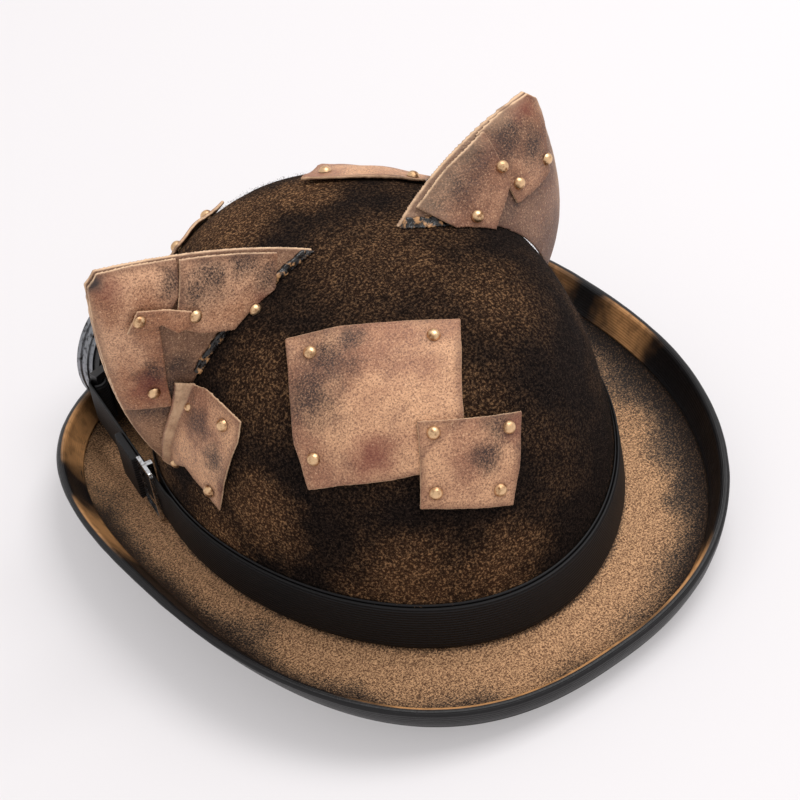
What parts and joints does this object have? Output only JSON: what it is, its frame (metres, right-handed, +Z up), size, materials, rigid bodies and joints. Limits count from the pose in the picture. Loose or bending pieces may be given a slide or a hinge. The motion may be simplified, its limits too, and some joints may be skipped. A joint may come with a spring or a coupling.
{
  "type": "bowler hat",
  "caption": "Costume bowler hat with curled brim, riveted leather patches, stiff leather ears and strap-on goggles with screwed lens rings.",
  "frame": {"origin": "middle of the head opening, on the surface that the brim's front and back dips stand on", "axes": "+Z up, the hat's front towards -Y, the wearer's left towards +X"},
  "size_m": [0.2338, 0.283, 0.1621],
  "materials": {
    "crown_felt": "matt fuzzy felt with bronze overspray",
    "brim_felt": "smooth felt with metallic bronze overspray",
    "binding_ribbon": "satin ribbon",
    "hat_ribbon": "ribbed ribbon",
    "sweatband_leather": "smooth",
    "strap_elastic": "ribbed elastic",
    "slider_chrome": "polished",
    "ear_leather": "sprayed bronze",
    "patch_leather": "sprayed bronze, airbrushed",
    "bridge_leather": "plain",
    "rivet_brass": "polished, a little worn",
    "hot_glue": "glossy bead",
    "ring_metal": "anodised grey",
    "lens_glass": "dark tinted",
    "eyecup_plastic": "semi-gloss black",
    "eyecup_pad": "soft foam"
  },
  "bodies": {
    "hat": {"brim_binding": "binding_ribbon", "brim_felt": "brim_felt", "crown_felt": "crown_felt", "crown_rivets": "rivet_brass", "front_crown_patch": "patch_leather", "goggle_strap": "strap_elastic", "hat_ribbon": "hat_ribbon", "large_crown_patch": "patch_leather", "left_ear_base_patch": "patch_leather", "left_ear_glue": "hot_glue", "left_ear_rivets": "rivet_brass", "left_ear_shell": "ear_leather", "left_ear_square_patch": "patch_leather", "left_ear_strip_patch": "patch_leather", "left_ear_tip_patch": "patch_leather", "left_eyecup": "eyecup_plastic", "left_eyecup_pad": "eyecup_pad", "nose_bridge": "bridge_leather", "nose_bridge_rivets": "rivet_brass", "right_ear_glue": "hot_glue", "right_ear_lower_patch": "patch_leather", "right_ear_rivets": "rivet_brass", "right_ear_shell": "ear_leather", "right_ear_tip_patch": "patch_leather", "right_eyecup": "eyecup_plastic", "right_eyecup_pad": "eyecup_pad", "small_crown_patch": "patch_leather", "sweatband": "sweatband_leather", "top_crown_patch": "patch_leather"},
    "left_lens_body": {"left_lens": "lens_glass"},
    "left_ring_body": {"left_lens_ring": "ring_metal"},
    "right_lens_body": {"right_lens": "lens_glass"},
    "right_ring_body": {"right_lens_ring": "ring_metal"},
    "left_slider_body": {"left_strap_slider": "slider_chrome", "left_strap_fold": "strap_elastic"}
  },
  "joints": [
    {"name": "left_lens_release", "type": "slide", "parent": "hat", "child": "left_lens_body", "axis": [0.1736, -0.9848, 0], "range_m": [0, 0.00027778]},
    {"name": "left_ring_screw", "type": "hinge", "parent": "left_lens_body", "child": "left_ring_body", "pos_m": [0.041, -0.127, 0.0336], "axis": [0.1736, -0.9848, 0], "range_deg": [0, 100]},
    {"name": "right_lens_release", "type": "slide", "parent": "hat", "child": "right_lens_body", "axis": [-0.1736, -0.9848, 0], "range_m": [0, 0.00027778]},
    {"name": "right_ring_screw", "type": "hinge", "parent": "right_lens_body", "child": "right_ring_body", "pos_m": [-0.041, -0.127, 0.0336], "axis": [-0.1736, -0.9848, 0], "range_deg": [0, 100]},
    {"name": "left_slider_travel", "type": "slide", "parent": "hat", "child": "left_slider_body", "axis": [-0.1739, -0.9848, 0], "range_m": [0, 0.025]}
  ],
  "couplings": [
    {"joint": "left_ring_screw", "follows": "left_lens_release", "rad_per_m": 6283.2},
    {"joint": "right_ring_screw", "follows": "right_lens_release", "rad_per_m": 6283.2}
  ]
}
